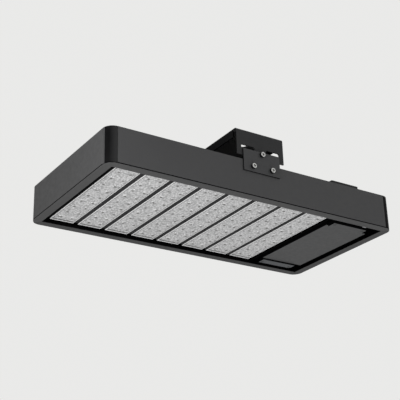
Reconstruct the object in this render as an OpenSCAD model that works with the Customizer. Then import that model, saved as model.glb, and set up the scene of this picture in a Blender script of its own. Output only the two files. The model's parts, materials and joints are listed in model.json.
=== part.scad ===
// LED canopy light on a tilting ceiling bracket, in millimetres.
// Origin: centre of the bracket's ceiling face. +X runs along the housing towards the
// driver bay, -Y is the near long side, +Z points up at the ceiling.

/* [Housing] */
// Length of the housing along X
housing_l = 660; // [650:5:700]
// Width of the housing along Y
housing_w = 324; // [320:2:350]
// Height of the housing
housing_h = 72.5; // [71:0.5:90]
// Outer radius of the four upright corners
corner_r = 20; // [16:1:24]
// Wall thickness of the frame profiles
wall_t = 3; // [2:0.5:4]
// Width of the flat rim round the underside
rim_w = 17.5; // [15:0.5:19]
// Thickness of the rim
rim_t = 1.2; // [1:0.2:2.4]
// Height of the groove between rim and wall
seam_h = 0.9; // [0.5:0.1:1.5]
// Depth of the groove between rim and wall
seam_d = 1.2; // [0.6:0.2:2]
// Width of the ledges inside the profiles
ledge_w = 8; // [7:0.5:9]
// Thickness of the ledges inside the profiles
ledge_t = 3; // [2:0.5:4]

/* [Light modules] */
// Gap from one module to the next
module_gap = 10; // [6:0.5:12]
// Gap from the modules' ends to the rim
module_end_gap = 3.1; // [2:0.1:8]
// Distance from the housing's left end to the first module
module_inset = 32.5; // [30:0.5:36]
// How far the lens plates lie above the rim's underside
lens_depth = 8; // [6:0.5:10]
// Thickness of a lens plate
lens_t = 2.5; // [2:0.5:3]
// Height of a module body behind its lens plate
body_t = 9.5; // [8:0.5:11]
// Number of lenses along a module
lens_rows = 9; // [7:1:11]
// Distance from a module's end to its first lens
lens_end = 23.4; // [18:0.2:30]
// Distance between the two rows of lenses
lens_col_pitch = 24; // [20:0.5:26]
// Radius of one lens dome at its foot
dome_r = 5.5; // [4:0.5:6.5]
// Height of one lens dome
dome_h = 2.2; // [1.5:0.1:3]

/* [Heat sink] */
// Thickness of the heat sink's base
sink_t = 5; // [4:0.5:7]
// Height of the cooling fins
fin_h = 36; // [25:1:37]
// Thickness of one fin
fin_t = 2; // [1.5:0.5:3]
// Number of fins over each module
fins_per_module = 4; // [2:2:4]

/* [Ceiling bracket] */
// Width of the bracket along X
bracket_w = 110; // [100:2:120]
// Height of the bracket's legs
bracket_h = 55; // [53:1:70]
// Thickness of the bracket's sheet
bracket_t = 3; // [2.5:0.5:4]
// Outer radius of the bends between web and legs
bend_r = 5; // [4.5:0.5:8]
// Depth of the stiffening lips along the web
lip_drop = 16.5; // [12:0.5:20]
// Gap between the legs and the top of the housing
hang_gap = 9.5; // [9.5:0.5:12]
// Diameter of the two ceiling bolt holes
ceiling_hole_d = 18; // [14:1:22]
// Distance between the two ceiling bolt holes
ceiling_hole_pitch = 212; // [180:2:240]
// Length of a slot in the legs
slot_l = 32; // [24:1:36]
// Width of a slot in the legs
slot_w = 8; // [6:0.5:9]
// Distance between the slots of one leg
slot_pitch = 58; // [56:1:62]
// Height of the slots' centre line above a leg's foot
slot_up = 17.5; // [17:0.5:24]

/* [Side plates and pivot] */
// Width of a side plate along X
plate_w = 85; // [76:1:95]
// Height of a side plate
plate_h = 45; // [43:1:52]
// Thickness of a side plate
plate_t = 3; // [2:0.5:4]
// Height of the tilt pivot above a leg's foot
pivot_up = 6.5; // [6:0.5:7]
// Distance of the pivot below a side plate's top edge
pivot_edge = 6; // [5.5:0.5:7]
// Height of the lower screws above a side plate's bottom edge
plate_screw_up = 10.5; // [9:0.5:12]
// Distance between the lower screws
plate_screw_pitch = 44; // [38:1:50]

/* [Driver bay] */
// Length of the bay, from its partition to the housing's right end
bay_l = 140.5; // [136:0.5:160]
// Gap from the last module to the bay's partition
bay_gap = 8; // [4:0.5:10]
// Thickness of the partition
partition_t = 2; // [1.5:0.5:3]
// Gap from the partition to the driver cover
cover_gap_left = 5; // [5:0.5:7]
// Gap from the driver cover to the rim at the right end
cover_gap_right = 12.5; // [8:0.5:14]
// Gap from the driver cover to the rim at the long sides
cover_gap_side = 14.5; // [10:0.5:16]
// Length of the narrow ends of the driver cover
cover_end_l = 20; // [16:1:22]
// Depth of the cover's left notches
notch_left = 4.5; // [3:0.5:8]
// Depth of the cover's right notches
notch_right = 15; // [8:1:18]
// Thickness of the driver cover
cover_t = 2; // [1.5:0.5:3]
// How far the cover's face lies above the rim's underside
cover_depth = 3.2; // [2.6:0.2:4.4]
// Wall thickness of the driver box
box_t = 1.5; // [1:0.5:2]
// Thickness of the bay's roof plate
roof_t = 3; // [2:0.5:4]
// Room between the driver and the sides of its box
driver_side_gap = 7.5; // [4:0.5:12]
// Room past the driver's far end
driver_far_gap = 13; // [11:1:30]
// Room past the driver's near end, for the supply lead
driver_near_gap = 44; // [40:1:70]
// Height of the LED driver
driver_h = 38; // [30:1:42]

/* [Wiring box] */
// Length of the wiring box along X
wbox_l = 71; // [66:1:80]
// Width of the wiring box along Y
wbox_w = 90; // [84:1:100]
// Height of the wiring box with its lid
wbox_h = 22.5; // [22:0.5:30]
// Wall thickness of the wiring box
wbox_t = 2.5; // [2:0.5:3]
// Distance from the housing's near face to the wiring box
wbox_inset = 30; // [26:1:34]
// Diameter of cable that the gland takes
gland_bore_d = 8; // [6:0.5:9]

/* [Hidden] */
module_n = 8;            // light modules side by side, one for each name below

$fn = 48;
cut = 1;                 // overrun of a cut past the face that it opens
seat_gap = 0.3;          // clearance of a plate inside the frame
pivot_clear = 0.05;      // running clearance round a pivot screw
screw_clear = 0.25;      // clearance round a fixed screw or cable

// Fasteners
m6_r = 3;
m6_head_r = 5;
m6_head_h = 6;
m6_socket_af = 5;
m6_socket_depth = 3;
m4_r = 2;
m4_head_r = 3.5;
m4_head_h = 2.4;
m4_socket_af = 2.5;
m4_socket_depth = 1.4;
nut_af = 10;
nut_h = 5;
washer_r = 7;
washer_t = 1.5;
thread_end = 1;          // how far the pivot screw shows past its nut

// Housing
hx = housing_l / 2;
hy = housing_w / 2;
in_x = hx - wall_t;
in_y = hy - wall_t;
rim_x = hx - rim_w;
rim_y = hy - rim_w;
top_z = -bracket_h - hang_gap;
bot_z = top_z - housing_h;
key_l = 12;              // length of a corner post's keys inside the profiles
ledge_end = corner_r + key_l + 2 * seat_gap;

// Light modules, which fill the housing between its left end and the driver bay
bay_x = hx - bay_l;
modules_end = bay_x - bay_gap;
modules_room = modules_end + hx - module_inset;
module_w = (modules_room - (module_n - 1) * module_gap) / module_n;
module_pitch = module_w + module_gap;
module_l = 2 * (rim_y - module_end_gap);
lens_z = bot_z + lens_depth;
body_z = lens_z + lens_t;
sink_z = body_z + body_t;
plate_top_z = sink_z + sink_t;
fin_gap_end = 35;        // distance from the frame's inner face to the fins' ends
body_inset = 1;          // how far a module body stays inside its lens plate
flange_t = 3;            // thickness of the flange that fills the gap to the next module
flange_gap = 0.6;        // clearance of that flange to the next module
pocket_wall = 4;         // wall round the pocket of a module body
pocket_d = 3.5;          // depth of the pocket
board_t = 1.6;
board_clear = 0.5;
board_end = 10;          // room between board and pocket wall for the leads
chip_size = 4;
chip_t = 0.8;
groove_edge = 4;         // distance of the lens plate's groove from its edge
groove_w = 0.8;
groove_d = 0.6;
lens_line = module_l - 2 * lens_end;
lens_row_pitch = lens_line / (lens_rows - 1);

// Module fixings and leads
module_screw_margin = 45; // distance of a module's screws from its ends
module_screw_y = module_l / 2 - module_screw_margin;
module_screw_l = 9;
connector = [14, 12, 10];
connector_stem_r = 4;
connector_stem_l = 8;
cable_r = 3.5;
branch_r = 2;
cable_bend_r = 8;        // bend radius of the harness cable
harness_gap = 7;         // distance of the harness cable from the ledge
harness_y = in_y - ledge_w - harness_gap;
harness_z = plate_top_z + cable_r;
branch_gap = 2.5;        // free length of each branch of the harness
connector_y = harness_y - cable_r - branch_gap - connector[1] / 2;

// Driver bay
bay_in_x = bay_x + partition_t;
partition_depth = 8;     // how far the partition's edge lies above the rim's underside
partition_flange = 6;
roof_z = top_z - roof_t;
cover_x0 = bay_in_x + cover_gap_left;
cover_x1 = rim_x - cover_gap_right;
cover_y = rim_y - cover_gap_side;
main_y = cover_y - cover_end_l;
narrow_x0 = cover_x0 + notch_left;
narrow_x1 = cover_x1 - notch_right;
cover_z = bot_z + cover_depth;
pad_depth = 0.6;         // how far the cover's end pads lie above the rim's underside
pad_z = bot_z + pad_depth;
groove_gap = 3;          // width of the dark line between cover and strip
groove_deep = 1.2;
strip_cut = 4;           // slanted corner of the strip
box_inset = 1.5;
box_z = cover_z + cover_t;
driver_x = (narrow_x0 + narrow_x1) / 2;
driver_w = narrow_x1 - narrow_x0 - 2 * (box_inset + box_t + driver_side_gap);
driver_y1 = cover_y - box_inset - driver_far_gap;
driver_y0 = -cover_y + box_inset + driver_near_gap;
driver_top = roof_z - box_t;
driver_z = driver_top - driver_h;
foot_l = 8;
foot_t = 3;
foot_inset = 3.5;        // how far a foot stays inside the driver's sides
foot_w = driver_w - 2 * foot_inset;
foot_screw_x = foot_w / 2 - foot_l;
flange_screw_x = bay_in_x + partition_flange / 2;

// Wiring box
wbox_gap = 3;            // clearance between the wiring box and the flange's screw heads
wbox_x = flange_screw_x + m4_head_r + wbox_gap + wbox_l / 2;
supply_shift = 6.5;      // how far the supply lead sits to the right of the wiring box's middle
supply_x = wbox_x + supply_shift;
wbox_y0 = -hy + wbox_inset;
wbox_y1 = wbox_y0 + wbox_w;
wbox_y = (wbox_y0 + wbox_y1) / 2;
lid_t = 3;
lid_z = top_z + wbox_h - lid_t;
lid_boss_r = 4;
wbox_corner_r = 3;       // outer radius of the wiring box's upright corners
supply_r = 2.5;
supply_bend = 6;
supply_gap = 14;         // distance of the supply lead from the driver's feet
supply_y = driver_y0 - foot_l - supply_gap;
supply_z = driver_z + driver_h / 2;
terminal = [34, 20, 12];
terminal_lap = 6;        // how far the terminal block reaches past the lead
terminal_y0 = supply_y - terminal_lap;
surge = [26, 24, 12];
surge_gap = 1;
gland_af = 18;
gland_flange_t = 5;
gland_thread_r = 7.5;
gland_thread_l = 7;
gland_inside_l = 4;
gland_nut_r = 9;
gland_nut_l = 14;
gland_lip_l = 5;
gland_drop = 1;          // how far the gland sits below the box's mid height
gland_z = top_z + wbox_h / 2 - gland_drop;
gland_play = 1;          // extra width of the gland's bore before its lip

// Bracket and side plates
leg_z = -bracket_h;
pivot_z = leg_z + pivot_up;
slot_z = leg_z + slot_up;
plate_top = pivot_z + pivot_edge;
plate_bottom = plate_top - plate_h;
plate_screw_z = plate_bottom + plate_screw_up;
plate_screw_l = 16;
lip_relief = 4;
anchor_t = 12;
anchor_h = 20;
anchor_top = roof_z - ledge_t - 2 * seat_gap;

// Rim clip
clip_l = 9;
clip_t = 1;
clip_reach = 2.7;
clip_inset = 38.5;       // distance of the clip from the driver cover's right edge
clip_x = cover_x1 - clip_inset;

body_grey = [0.27, 0.27, 0.28];
dark_grey = [0.16, 0.16, 0.17];
black = [0.05, 0.05, 0.055];
lens_grey = [0.74, 0.75, 0.76];
steel = [0.72, 0.72, 0.74];
alu = [0.6, 0.61, 0.63];

function module_x(i) = -hx + module_inset + module_w / 2 + i * module_pitch;

// Box between two corners
module block(low, high) {
    translate(low) cube(high - low);
}

// Repeats its children on the far side
module both_sides() {
    children();
    mirror([0, 1, 0]) children();
}

// Socket head screw: head from z = 0 up, shank below
module socket_screw(r, head_r, head_h, af, depth, length) {
    translate([0, 0, -length]) cylinder(r = r, h = length);
    difference() {
        cylinder(r = head_r, h = head_h);
        translate([0, 0, head_h - depth])
            cylinder(d = af / cos(30), h = depth + cut, $fn = 6);
    }
}

module m6_screw(length) {
    socket_screw(m6_r, m6_head_r, m6_head_h, m6_socket_af, m6_socket_depth, length);
}

module m4_screw(length) {
    socket_screw(m4_r, m4_head_r, m4_head_h, m4_socket_af, m4_socket_depth, length);
}

// Hole along Y through everything from y0 to y1
module y_hole(x, z, r, y0, y1) {
    translate([x, y0, z]) rotate([-90, 0, 0]) cylinder(r = r, h = y1 - y0);
}

// Plan of the housing with its round corners
module housing_plan() {
    square([housing_l - 2 * corner_r, housing_w], center = true);
    square([housing_l, housing_w - 2 * corner_r], center = true);
    for (sx = [-1, 1], sy = [-1, 1])
        translate([sx * (hx - corner_r), sy * (hy - corner_r)]) circle(r = corner_r);
}

// Plan of a plate inside the frame, clear of walls, corner posts and their keys
module inner_plan() {
    key_x = hx - corner_r - key_l - seat_gap;
    key_y = hy - corner_r - key_l - seat_gap;
    core_x = in_x - wall_t - seat_gap;
    core_y = in_y - wall_t - seat_gap;
    core_r = corner_r - 2 * wall_t - seat_gap;
    square([2 * (in_x - seat_gap), 2 * key_y], center = true);
    square([2 * key_x, 2 * (in_y - seat_gap)], center = true);
    square([2 * core_x, 2 * (core_y - core_r)], center = true);
    square([2 * (core_x - core_r), 2 * core_y], center = true);
    for (sx = [-1, 1], sy = [-1, 1])
        translate([sx * (core_x - core_r), sy * (core_y - core_r)]) circle(r = core_r);
}

// Ceiling bracket

// Section of web and legs in the YZ plane, drawn as Y, Z
module bracket_section(half, r, drop) {
    translate([-half, -drop]) square([2 * half, drop - r]);
    translate([-half + r, -drop]) square([2 * (half - r), drop]);
    for (s = [-1, 1]) translate([s * (half - r), -r]) circle(r = r);
}

module leg_slots() {
    for (s = [-1, 1])
        translate([s * slot_pitch / 2, 0, slot_z]) {
            for (e = [-1, 1])
                y_hole(e * (slot_l - slot_w) / 2, 0, slot_w / 2, -hy - cut, hy + cut);
            block([-(slot_l - slot_w) / 2, -hy - cut, -slot_w / 2],
                  [(slot_l - slot_w) / 2, hy + cut, slot_w / 2]);
        }
}

module mounting_bracket() color(dark_grey) difference() {
    union() {
        rotate([90, 0, 90]) translate([0, 0, -bracket_w / 2])
            linear_extrude(height = bracket_w) difference() {
                bracket_section(hy, bend_r, bracket_h);
                translate([0, -bracket_t])
                    bracket_section(hy - bracket_t, bend_r - bracket_t, bracket_h);
            }
        for (s = [-1, 1])
            translate([s * (bracket_w - bracket_t) / 2, 0, -(lip_drop + bracket_t / 2) / 2])
                cube([bracket_t, 2 * (in_y - lip_relief - bend_r),
                      lip_drop - bracket_t / 2], center = true);
    }
    for (s = [-1, 1])
        translate([0, s * ceiling_hole_pitch / 2, -bracket_t - cut])
            cylinder(d = ceiling_hole_d, h = bracket_t + 2 * cut);
    leg_slots();
    y_hole(0, pivot_z, m6_r + pivot_clear, -hy - cut, hy + cut);
}

// Side plates, their screws and the pivot

module side_plate() color(dark_grey) difference() {
    block([-plate_w / 2, -hy - plate_t, plate_bottom], [plate_w / 2, -hy, plate_top]);
    y_hole(0, pivot_z, m6_r + screw_clear, -hy - plate_t - cut, -hy + cut);
    for (s = [-1, 1])
        y_hole(s * plate_screw_pitch / 2, plate_screw_z, m6_r + screw_clear,
               -hy - plate_t - cut, -hy + cut);
}

module side_plate_near() side_plate();

module side_plate_far() mirror([0, 1, 0]) side_plate();

// A screw that points inwards through the near side plate
module near_screw(x, z, length) {
    translate([x, -hy - plate_t, z]) rotate([90, 0, 0]) m6_screw(length);
}

module pivot_screws() color(steel) both_sides()
    near_screw(0, pivot_z, plate_t + bracket_t + washer_t + nut_h + thread_end);

module side_plate_screws() color(steel) both_sides()
    for (s = [-1, 1]) near_screw(s * plate_screw_pitch / 2, plate_screw_z, plate_screw_l);

module pivot_washers() color(steel) both_sides()
    translate([0, -hy + bracket_t, pivot_z]) rotate([-90, 0, 0]) difference() {
        cylinder(r = washer_r, h = washer_t);
        translate([0, 0, -cut]) cylinder(r = m6_r + screw_clear, h = washer_t + 2 * cut);
    }

module pivot_nuts() color(steel) both_sides()
    translate([0, -hy + bracket_t + washer_t, pivot_z]) rotate([-90, 0, 0]) difference() {
        cylinder(d = nut_af / cos(30), h = nut_h, $fn = 6);
        translate([0, 0, -cut]) cylinder(r = m6_r, h = nut_h + 2 * cut);
    }

module anchor_blocks() color(alu) both_sides() difference() {
    block([-plate_w / 2, -in_y, anchor_top - anchor_h],
          [plate_w / 2, -in_y + anchor_t, anchor_top]);
    for (s = [-1, 1])
        y_hole(s * plate_screw_pitch / 2, plate_screw_z, m6_r,
               -in_y - cut, -hy - plate_t + plate_screw_l);
}

// Frame of the housing

// One side of the mitred rim, cut to the round corners
module rim_side(outline) {
    translate([0, 0, bot_z]) linear_extrude(height = rim_t) intersection() {
        housing_plan();
        polygon(outline);
    }
}

module side_profile() {
    rim_side([[-hx, -hy], [hx, -hy], [rim_x, -rim_y], [-rim_x, -rim_y]]);
    difference() {
        union() {
            block([-hx + corner_r, -hy, bot_z + rim_t / 2], [hx - corner_r, -in_y, top_z]);
            for (z = [plate_top_z, roof_z - ledge_t])
                block([-hx + ledge_end, -in_y - wall_t / 2, z],
                      [hx - ledge_end, -in_y + ledge_w, z + ledge_t]);
        }
        for (s = [-1, 1])
            y_hole(s * plate_screw_pitch / 2, plate_screw_z, m6_r + screw_clear,
                   -hy - cut, -in_y + cut);
        for (x = roof_edge_x) roof_screw_hole(x);
        seam_groove();
        for (x = sink_screw_x)
            translate([x, -in_y + ledge_w / 2, plate_top_z - cut])
                cylinder(r = m4_r, h = ledge_t + 2 * cut);
    }
}

module side_profile_near() color(body_grey) side_profile();

module side_profile_far() color(body_grey) mirror([0, 1, 0]) side_profile();

// Groove in the outer faces just above the rim
module seam_groove() {
    difference() {
        block([-hx - cut, -hy - cut, bot_z + rim_t], [hx + cut, hy + cut, bot_z + rim_t + seam_h]);
        block([-hx + seam_d, -hy + seam_d, bot_z], [hx - seam_d, hy - seam_d, top_z]);
    }
}

module end_profile() {
    rim_side([[-hx, -hy], [-rim_x, -rim_y], [-rim_x, rim_y], [-hx, hy]]);
    difference() {
        block([-hx, -hy + corner_r, bot_z + rim_t / 2], [-in_x, hy - corner_r, top_z]);
        seam_groove();
    }
    for (z = [plate_top_z, roof_z - ledge_t])
        block([-in_x - wall_t / 2, -hy + ledge_end, z],
              [-in_x + ledge_w, hy - ledge_end, z + ledge_t]);
}

module end_profile_left() color(body_grey) end_profile();

module end_profile_right() color(body_grey) mirror([1, 0, 0]) end_profile();

// Plan of one corner post: a quarter ring with a key behind each profile
module corner_plan() {
    translate([-hx + corner_r, -hy + corner_r]) {
        difference() {
            intersection() {
                circle(r = corner_r);
                translate([-corner_r, -corner_r]) square(corner_r);
            }
            circle(r = corner_r - 2 * wall_t);
        }
        translate([-wall_t / 2, -corner_r + wall_t]) square([key_l + wall_t / 2, wall_t]);
        translate([-corner_r + wall_t, -wall_t / 2]) square([wall_t, key_l + wall_t / 2]);
    }
}

module corner_posts() color(black)
    for (sx = [0, 1], sy = [0, 1])
        mirror([sx, 0, 0]) mirror([0, sy, 0])
            translate([0, 0, bot_z + rim_t + seam_h])
                linear_extrude(height = housing_h - rim_t - seam_h) corner_plan();

// Small spring clip on the rim's inner edge, beside the driver cover
module rim_clip() color(body_grey) translate([clip_x, 0, 0]) {
    block([0, -rim_y - clip_reach, bot_z - clip_t], [clip_l, -rim_y + clip_t, bot_z]);
    block([0, -rim_y, bot_z - clip_t], [clip_l, -rim_y + clip_t, bot_z + rim_t + clip_t]);
    block([0, -rim_y - clip_reach, bot_z + rim_t],
          [clip_l, -rim_y + clip_t, bot_z + rim_t + clip_t]);
}

// Heat sink

fin_pitch = module_pitch / fins_per_module;
fin_y = in_y - fin_gap_end;
sink_screw_n = 4;
sink_screw_margin = 20;
sink_x0 = -hx + ledge_end + sink_screw_margin;
sink_screw_x = [for (i = [0 : sink_screw_n - 1])
    sink_x0 + i * (bay_x - sink_screw_margin - sink_x0) / (sink_screw_n - 1)];

module heat_sink() color(dark_grey) difference() {
    union() {
        translate([0, 0, sink_z]) linear_extrude(height = sink_t) intersection() {
            inner_plan();
            translate([-hx, -hy]) square([hx + bay_x, housing_w]);
        }
        for (i = [0 : module_n - 1], k = [0 : fins_per_module - 1])
            translate([module_x(i) + (k - (fins_per_module - 1) / 2) * fin_pitch, 0, 0])
                block([-fin_t / 2, -fin_y, plate_top_z - fin_t / 2],
                      [fin_t / 2, fin_y, plate_top_z + fin_h]);
    }
    for (i = [0 : module_n - 1]) {
        for (s = [-1, 1])
            translate([module_x(i), s * module_screw_y, sink_z - cut])
                cylinder(r = m4_r + screw_clear, h = sink_t + 2 * cut);
        translate([module_x(i), connector_y, sink_z - cut])
            cylinder(r = connector_stem_r, h = sink_t + 2 * cut);
    }
    for (x = sink_screw_x, s = [-1, 1])
        translate([x, s * (in_y - ledge_w / 2), sink_z - cut])
            cylinder(r = m4_r + screw_clear, h = sink_t + 2 * cut);
}

module heat_sink_screws() color(steel)
    for (x = sink_screw_x, s = [-1, 1])
        translate([x, s * (in_y - ledge_w / 2), sink_z]) rotate([180, 0, 0])
            m4_screw(sink_t + ledge_t);

// Light modules

// Spherical dome that stands down from z = 0
module lens_dome() {
    ball_r = (dome_r * dome_r + dome_h * dome_h) / (2 * dome_h);
    intersection() {
        translate([0, 0, ball_r - dome_h]) sphere(r = ball_r);
        translate([0, 0, -dome_h / 2]) cube([4 * dome_r, 4 * dome_r, dome_h], center = true);
    }
}

module lens_plate(i) color(lens_grey) translate([module_x(i), 0, lens_z]) {
    groove_x = module_w / 2 - groove_edge;
    groove_y = module_l / 2 - groove_edge;
    difference() {
        block([-module_w / 2, -module_l / 2, 0], [module_w / 2, module_l / 2, lens_t]);
        difference() {
            block([-groove_x, -groove_y, -cut], [groove_x, groove_y, groove_d]);
            block([-groove_x + groove_w, -groove_y + groove_w, -2 * cut],
                  [groove_x - groove_w, groove_y - groove_w, groove_d + cut]);
        }
    }
    for (k = [0 : lens_rows - 1], s = [-1, 1])
        translate([s * lens_col_pitch / 2, k * lens_row_pitch - lens_line / 2, 0])
            lens_dome();
}

module led_board(i) color([0.9, 0.9, 0.88]) translate([module_x(i), 0, body_z + pocket_d]) {
    half_w = module_w / 2 - body_inset - pocket_wall - board_clear;
    half_l = module_l / 2 - body_inset - pocket_wall - board_end;
    block([-half_w, -half_l, -board_t], [half_w, half_l, 0]);
    for (k = [0 : lens_rows - 1], s = [-1, 1])
        translate([s * lens_col_pitch / 2, k * lens_row_pitch - lens_line / 2, -board_t])
            cube([chip_size, chip_size, 2 * chip_t], center = true);
}

module module_body(i) color(dark_grey) translate([module_x(i), 0, body_z]) {
    half_w = module_w / 2 - body_inset;
    half_l = module_l / 2 - body_inset;
    if (i < module_n - 1)
        block([half_w - body_inset, -half_l, 0],
              [half_w + module_gap + 2 * body_inset - flange_gap, half_l, flange_t]);
    difference() {
        block([-half_w, -half_l, 0], [half_w, half_l, body_t]);
        block([-half_w + pocket_wall, -half_l + pocket_wall, -cut],
              [half_w - pocket_wall, half_l - pocket_wall, pocket_d]);
        for (s = [-1, 1])
            translate([0, s * module_screw_y, body_t + sink_t - module_screw_l])
                cylinder(r = m4_r, h = module_screw_l);
        translate([0, connector_y, pocket_d - cut])
            cylinder(r = connector_stem_r, h = body_t);
    }
}

module module_screws() color(steel)
    for (i = [0 : module_n - 1], s = [-1, 1])
        translate([module_x(i), s * module_screw_y, plate_top_z]) m4_screw(module_screw_l);

module module_connectors() color(black)
    for (i = [0 : module_n - 1]) translate([module_x(i), connector_y, plate_top_z]) {
        translate([0, 0, connector[2] / 2]) cube(connector, center = true);
        translate([0, 0, -connector_stem_l])
            cylinder(r = connector_stem_r, h = connector_stem_l + connector[2] / 2);
    }

// Quarter bend of a cable, in the plane that its children turn it to
module cable_bend(bend, r) {
    rotate_extrude(angle = 90) translate([bend, 0]) circle(r = r);
}

// Lead that joins the modules: along X behind the fins, up, and into the driver
module harness_cable() color(black) {
    straight_x = driver_x - cable_bend_r;
    bend_y = harness_y - cable_bend_r;
    bend_z = harness_z + cable_bend_r;
    cable_x0 = module_x(0) - 2 * cable_r;
    translate([cable_x0, harness_y, harness_z]) rotate([0, 90, 0])
        cylinder(r = cable_r, h = straight_x - cable_x0);
    translate([straight_x, harness_y, bend_z])
        rotate([90, 0, 0]) rotate([0, 0, -90]) cable_bend(cable_bend_r, cable_r);
    translate([driver_x, harness_y, bend_z])
        cylinder(r = cable_r, h = supply_z - cable_bend_r - bend_z);
    translate([driver_x, bend_y, supply_z - cable_bend_r])
        rotate([90, 0, 90]) cable_bend(cable_bend_r, cable_r);
    y_hole(driver_x, supply_z, cable_r, driver_y1, bend_y);
    for (i = [0 : module_n - 1])
        y_hole(module_x(i), harness_z, branch_r, connector_y + connector[1] / 2, harness_y);
}

// Driver bay

roof_edge_n = 3;
roof_screw_margin = 15;
roof_edge_x0 = bay_x + roof_screw_margin;
roof_edge_x1 = hx - ledge_end - roof_screw_margin;
roof_edge_x = [for (i = [0 : roof_edge_n - 1])
    roof_edge_x0 + i * (roof_edge_x1 - roof_edge_x0) / (roof_edge_n - 1)];
flange_screw_y = 60;
wbox_screw_inset = 14;
wbox_screw_y = wbox_w / 2 - wbox_screw_inset;

module roof_screw_hole(x) {
    translate([x, -in_y + ledge_w / 2, roof_z - ledge_t - cut])
        cylinder(r = m4_r, h = ledge_t + 2 * cut);
}

module bay_partition() color(black) difference() {
    union() {
        block([bay_x, -in_y + ledge_w + seat_gap, bot_z + partition_depth],
              [bay_in_x, in_y - ledge_w - seat_gap, roof_z]);
        block([bay_in_x - partition_t / 2, -in_y + ledge_w + seat_gap, roof_z - partition_t],
              [bay_in_x + partition_flange, in_y - ledge_w - seat_gap, roof_z]);
    }
    translate([bay_x - cut, harness_y, harness_z]) rotate([0, 90, 0])
        cylinder(r = cable_r + screw_clear, h = partition_t + 2 * cut);
    for (s = [-1, 1])
        translate([flange_screw_x, s * flange_screw_y, roof_z - partition_t - cut])
            cylinder(r = m4_r, h = partition_t + 2 * cut);
}

module bay_roof() color(body_grey) difference() {
    translate([0, 0, roof_z]) linear_extrude(height = roof_t) intersection() {
        inner_plan();
        translate([bay_x, -hy]) square([hx - bay_x, housing_w]);
    }
    for (x = roof_edge_x, s = [-1, 1])
        translate([x, s * (in_y - ledge_w / 2), roof_z - cut])
            cylinder(r = m4_r + screw_clear, h = roof_t + 2 * cut);
    for (s = [-1, 1]) {
        translate([flange_screw_x, s * flange_screw_y, roof_z - cut])
            cylinder(r = m4_r + screw_clear, h = roof_t + 2 * cut);
        translate([wbox_x, wbox_y + s * wbox_screw_y, roof_z - cut])
            cylinder(r = m4_r, h = roof_t + 2 * cut);
    }
    for (x = [-1, 1], y = [driver_y0 - foot_l / 2, driver_y1 + foot_l / 2])
        translate([driver_x + x * foot_screw_x, y, roof_z - cut])
            cylinder(r = m4_r, h = cut + roof_t - seat_gap);
    supply_hole();
}

// Passage of the supply lead through box and roof
module supply_hole() {
    translate([supply_x, supply_y, roof_z - box_t - cut])
        cylinder(r = supply_r + screw_clear, h = box_t + roof_t + wbox_t + 2 * cut);
}

module roof_screws() color(steel) {
    for (x = roof_edge_x, s = [-1, 1])
        translate([x, s * (in_y - ledge_w / 2), top_z]) m4_screw(roof_t + ledge_t);
    for (s = [-1, 1]) {
        translate([flange_screw_x, s * flange_screw_y, top_z])
            m4_screw(roof_t + partition_t);
        translate([wbox_x, wbox_y + s * wbox_screw_y, top_z + wbox_t])
            m4_screw(roof_t + wbox_t - box_t);
    }
}

// Plan of the driver cover, or of the box when shrunk by inset
module cover_plan(inset) {
    translate([cover_x0 + inset, -main_y + inset])
        square([cover_x1 - cover_x0 - 2 * inset, 2 * (main_y - inset)]);
    translate([narrow_x0 + inset, -cover_y + inset])
        square([narrow_x1 - narrow_x0 - 2 * inset, 2 * (cover_y - inset)]);
}

module driver_box() color(black) difference() {
    union() {
        difference() {
            translate([0, 0, box_z]) linear_extrude(height = roof_z - box_z)
                cover_plan(box_inset);
            translate([0, 0, box_z - cut])
                linear_extrude(height = roof_z - box_t - box_z + cut)
                    cover_plan(box_inset + box_t);
        }
        for (p = cover_screws_at) translate([p[0], p[1], box_z])
            cylinder(r = cover_boss_r, h = cover_boss_h);
    }
    for (p = cover_screws_at) translate([p[0], p[1], box_z - cut])
        cylinder(r = m4_r, h = cover_boss_h + cut - m4_r);
    y_hole(driver_x, supply_z, cable_r + screw_clear, main_y, cover_y);
    for (x = [-1, 1], y = [driver_y0 - foot_l / 2, driver_y1 + foot_l / 2])
        translate([driver_x + x * foot_screw_x, y, roof_z - box_t - cut])
            cylinder(r = m4_r + screw_clear, h = box_t + 2 * cut);
    supply_hole();
}

cover_screw_inset = 6;
cover_screws_at = [
    [narrow_x0 + cover_screw_inset, -cover_y + cover_screw_inset],
    [narrow_x1 - cover_screw_inset, -cover_y + cover_screw_inset],
    [narrow_x0 + cover_screw_inset, cover_y - cover_screw_inset],
    [narrow_x1 - cover_screw_inset, cover_y - cover_screw_inset]];
cover_screw_l = 9;
cover_boss_r = 4.5;
cover_boss_h = 12;

module driver_cover() color(body_grey) difference() {
    union() {
        translate([0, 0, cover_z]) linear_extrude(height = cover_t) cover_plan(0);
        block([narrow_x0, -cover_y, pad_z], [narrow_x1, -main_y, cover_z + cover_t / 2]);
    }
    block([cover_x0 - cut, main_y - groove_gap / 2, cover_z - cut],
          [cover_x1 + cut, main_y + groove_gap / 2, cover_z + groove_deep]);
    cover_screw_holes();
}

// Counterbored holes for the screws of cover and strip
module cover_screw_holes() {
    for (p = cover_screws_at) translate([p[0], p[1], pad_z - cut]) {
        cylinder(r = m4_r + screw_clear, h = cover_t + cover_depth + 2 * cut);
        cylinder(r = m4_head_r + screw_clear, h = m4_head_h + cut);
    }
}

module cover_strip() color(body_grey) difference() {
    translate([0, 0, pad_z]) linear_extrude(height = cover_z - pad_z) polygon([
        [narrow_x0, main_y + groove_gap / 2], [narrow_x1 + strip_cut / 4, main_y + groove_gap / 2],
        [narrow_x1 + strip_cut / 4, cover_y - strip_cut], [narrow_x1 - strip_cut, cover_y],
        [narrow_x0, cover_y]]);
    cover_screw_holes();
}

module cover_screws() color(dark_grey)
    for (p = cover_screws_at)
        translate([p[0], p[1], pad_z + m4_head_h]) rotate([180, 0, 0])
            m4_screw(cover_screw_l);

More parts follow.
